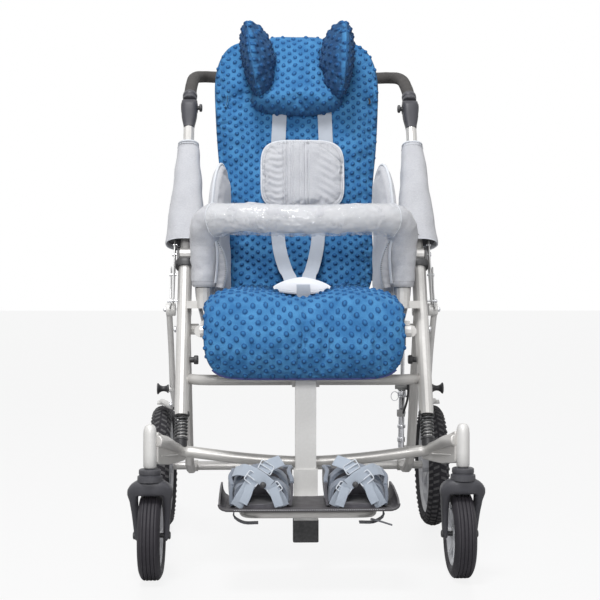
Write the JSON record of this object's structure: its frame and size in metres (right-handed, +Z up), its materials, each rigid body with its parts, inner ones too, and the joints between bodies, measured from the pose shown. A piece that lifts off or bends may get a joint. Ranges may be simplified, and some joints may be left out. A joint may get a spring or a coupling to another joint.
{
  "type": "special needs stroller",
  "caption": "Folding tube stroller for a disabled child, with a tilting padded seat, reclining back, harness, padded bar, telescopic legrest and swivel casters.",
  "frame": {"origin": "on the floor, under the middle of the outer box", "axes": "+Z up, -Y the way the child faces, +X to the child's left; the cross-section is widest along X and longest along Z"},
  "size_m": [0.73, 0.862, 1.2071],
  "materials": {
    "silver_tube": "satin silver powder coat",
    "bright_steel": "bright plated steel",
    "spring_steel": "black coated spring wire",
    "brake_steel": "satin grey powder coat",
    "dark_plastic": "dark grey moulded plastic, fine grain",
    "black_plastic": "black moulded plastic",
    "tray_plastic": "dark grey moulded plastic, ribbed",
    "grip_foam": "dark grey foam grip",
    "wheel_rim": "silver moulded plastic",
    "caster_tyre": "solid dark grey rubber with grooves",
    "rear_tyre": "black rubber with tread blocks",
    "board": "dark grey woven cover over a board",
    "blue_cloth": "blue plush with raised dots",
    "grey_cloth": "light grey melange canvas with pale piping",
    "webbing": "pale grey woven webbing"
  },
  "bodies": {
    "frame": {"main_tube_right": "silver_tube", "main_tube_left": "silver_tube", "fold_hinge_right": "black_plastic", "fold_hinge_left": "black_plastic", "cross_tube": "silver_tube", "shock_spring_right": "spring_steel", "shock_spring_left": "spring_steel"},
    "front_axle": {"front_arch": "silver_tube", "caster_housing_right": "silver_tube", "caster_housing_left": "silver_tube", "shock_rod_right": "black_plastic", "shock_rod_left": "black_plastic"},
    "handle_frame": {"upper_tube_right": "silver_tube", "upper_tube_left": "silver_tube", "tube_cover_right": "grey_cloth", "tube_cover_left": "grey_cloth", "handle_joint_right": "dark_plastic", "handle_joint_left": "dark_plastic"},
    "rear_frame": {"rear_leg_right": "silver_tube", "rear_leg_left": "silver_tube", "rear_axle": "silver_tube"},
    "handle": {"handlebar": "grip_foam"},
    "seat": {"seat_frame": "silver_tube", "seat_cushion": "blue_cloth", "side_pad_right": "grey_cloth", "side_pad_left": "grey_cloth"},
    "backrest": {"back_board": "board", "back_cushion": "blue_cloth", "headrest": "blue_cloth", "head_wing_right": "blue_cloth", "head_wing_left": "blue_cloth", "chest_pad": "grey_cloth", "harness": "webbing"},
    "bar": {"safety_bar": "silver_tube", "safety_bar_cover": "grey_cloth"},
    "legrest": {"leg_post": "silver_tube"},
    "leg_slide": {"leg_sleeve": "silver_tube"},
    "foot": {"footplate": "tray_plastic", "foot_strap_right": "webbing", "foot_strap_left": "webbing"},
    "strut_lower": {"strut_sleeve": "bright_steel"},
    "strut_upper": {"strut_rod": "bright_steel"},
    "caster_right": {"caster_fork_right": "dark_plastic", "caster_axle_right": "bright_steel"},
    "caster_wheel_right": {"caster_rim_right": "wheel_rim", "caster_tyre_right": "caster_tyre"},
    "rear_wheel_right": {"rear_rim_right": "wheel_rim", "rear_tyre_right": "rear_tyre"},
    "brake_right": {"brake_arm_right": "brake_steel"},
    "knob_right": {"lock_knob_right": "black_plastic"},
    "button_right": {"joint_button_right": "black_plastic"},
    "caster_left": {"caster_fork_left": "dark_plastic", "caster_axle_left": "bright_steel"},
    "caster_wheel_left": {"caster_rim_left": "wheel_rim", "caster_tyre_left": "caster_tyre"},
    "rear_wheel_left": {"rear_rim_left": "wheel_rim", "rear_tyre_left": "rear_tyre"},
    "brake_left": {"brake_arm_left": "brake_steel"},
    "knob_left": {"lock_knob_left": "black_plastic"},
    "button_left": {"joint_button_left": "black_plastic"}
  },
  "joints": [
    {"name": "front_suspension", "type": "slide", "parent": "frame", "child": "front_axle", "axis": [0, 0.3698, 0.9291], "range_m": [0, 0.012], "stiffness_N_per_m": 6000, "springref_m": -0.03, "deforming": ["shock_spring_right", "shock_spring_left"]},
    {"name": "caster_swivel_right", "type": "hinge", "parent": "front_axle", "child": "caster_right", "pos_m": [-0.312, -0.32, 0.2], "axis": [0, 0, 1], "continuous": true},
    {"name": "caster_spin_right", "type": "hinge", "parent": "caster_right", "child": "caster_wheel_right", "pos_m": [-0.312, -0.28, 0.089], "axis": [1, 0, 0], "continuous": true},
    {"name": "caster_swivel_left", "type": "hinge", "parent": "front_axle", "child": "caster_left", "pos_m": [0.312, -0.32, 0.2], "axis": [0, 0, 1], "continuous": true},
    {"name": "caster_spin_left", "type": "hinge", "parent": "caster_left", "child": "caster_wheel_left", "pos_m": [0.312, -0.28, 0.089], "axis": [1, 0, 0], "continuous": true},
    {"name": "frame_fold", "type": "hinge", "parent": "frame", "child": "handle_frame", "pos_m": [0, -0.029, 0.666], "axis": [-1, 0, 0], "range_deg": [0, 90]},
    {"name": "rear_fold", "type": "hinge", "parent": "frame", "child": "rear_frame", "pos_m": [0, -0.03918, 0.54305], "axis": [-1, 0, 0], "range_deg": [0, 27.5]},
    {"name": "rear_spin_right", "type": "hinge", "parent": "rear_frame", "child": "rear_wheel_right", "pos_m": [-0.335, 0.28, 0.151], "axis": [1, 0, 0], "continuous": true},
    {"name": "brake_right", "type": "hinge", "parent": "rear_frame", "child": "brake_right", "pos_m": [-0.296, -0.03918, 0.54305], "axis": [-1, 0, 0], "range_deg": [0, 1.5]},
    {"name": "knob_pull_right", "type": "slide", "parent": "brake_right", "child": "knob_right", "axis": [-1, 0, 0], "range_m": [0, 0.008], "stiffness_N_per_m": 400},
    {"name": "button_press_right", "type": "slide", "parent": "handle_frame", "child": "button_right", "axis": [-1, 0, 0], "range_m": [0, 0.003], "stiffness_N_per_m": 800},
    {"name": "rear_spin_left", "type": "hinge", "parent": "rear_frame", "child": "rear_wheel_left", "pos_m": [0.335, 0.28, 0.151], "axis": [1, 0, 0], "continuous": true},
    {"name": "brake_left", "type": "hinge", "parent": "rear_frame", "child": "brake_left", "pos_m": [0.296, -0.03918, 0.54305], "axis": [-1, 0, 0], "range_deg": [0, 1.5]},
    {"name": "knob_pull_left", "type": "slide", "parent": "brake_left", "child": "knob_left", "axis": [1, 0, 0], "range_m": [0, 0.008], "stiffness_N_per_m": 400},
    {"name": "button_press_left", "type": "slide", "parent": "handle_frame", "child": "button_left", "axis": [1, 0, 0], "range_m": [0, 0.003], "stiffness_N_per_m": 800},
    {"name": "handle_angle", "type": "hinge", "parent": "handle_frame", "child": "handle", "pos_m": [0, 0.11003, 1.01535], "axis": [1, 0, 0], "range_deg": [-50, 25]},
    {"name": "seat_tilt", "type": "hinge", "parent": "frame", "child": "seat", "pos_m": [0, -0.072, 0.5], "axis": [-1, 0, 0], "range_deg": [0, 20]},
    {"name": "back_recline", "type": "hinge", "parent": "seat", "child": "backrest", "pos_m": [0, 0.062, 0.5], "axis": [-1, 0, 0], "range_deg": [0, 20]},
    {"name": "bar_height", "type": "slide", "parent": "frame", "child": "bar", "axis": [0, 0, 1], "range_m": [0, 0.03]},
    {"name": "legrest_angle", "type": "hinge", "parent": "seat", "child": "legrest", "pos_m": [0, -0.24, 0.398], "axis": [-1, 0, 0], "range_deg": [0, 50]},
    {"name": "legrest_length", "type": "slide", "parent": "legrest", "child": "leg_slide", "axis": [0, 0, 1], "range_m": [-0.04, 0.06]},
    {"name": "footplate_fold", "type": "hinge", "parent": "leg_slide", "child": "foot", "pos_m": [0, -0.2638, 0.151], "axis": [-1, 0, 0], "range_deg": [0, 60]},
    {"name": "strut_swing", "type": "hinge", "parent": "rear_frame", "child": "strut_lower", "pos_m": [0.2365, 0.09487, 0.21373], "axis": [1, 0, 0], "range_deg": [0, 5]},
    {"name": "strut_slide", "type": "slide", "parent": "strut_lower", "child": "strut_upper", "axis": [0, -0.1533, 0.9882], "range_m": [-0.041, 0]}
  ],
  "couplings": [
    {"joint": "rear_fold", "follows": "frame_fold", "ratio": 0.3},
    {"joint": "strut_swing", "follows": "seat_tilt", "ratio": 0.205},
    {"joint": "strut_slide", "follows": "seat_tilt", "m_per_rad": -0.112}
  ]
}
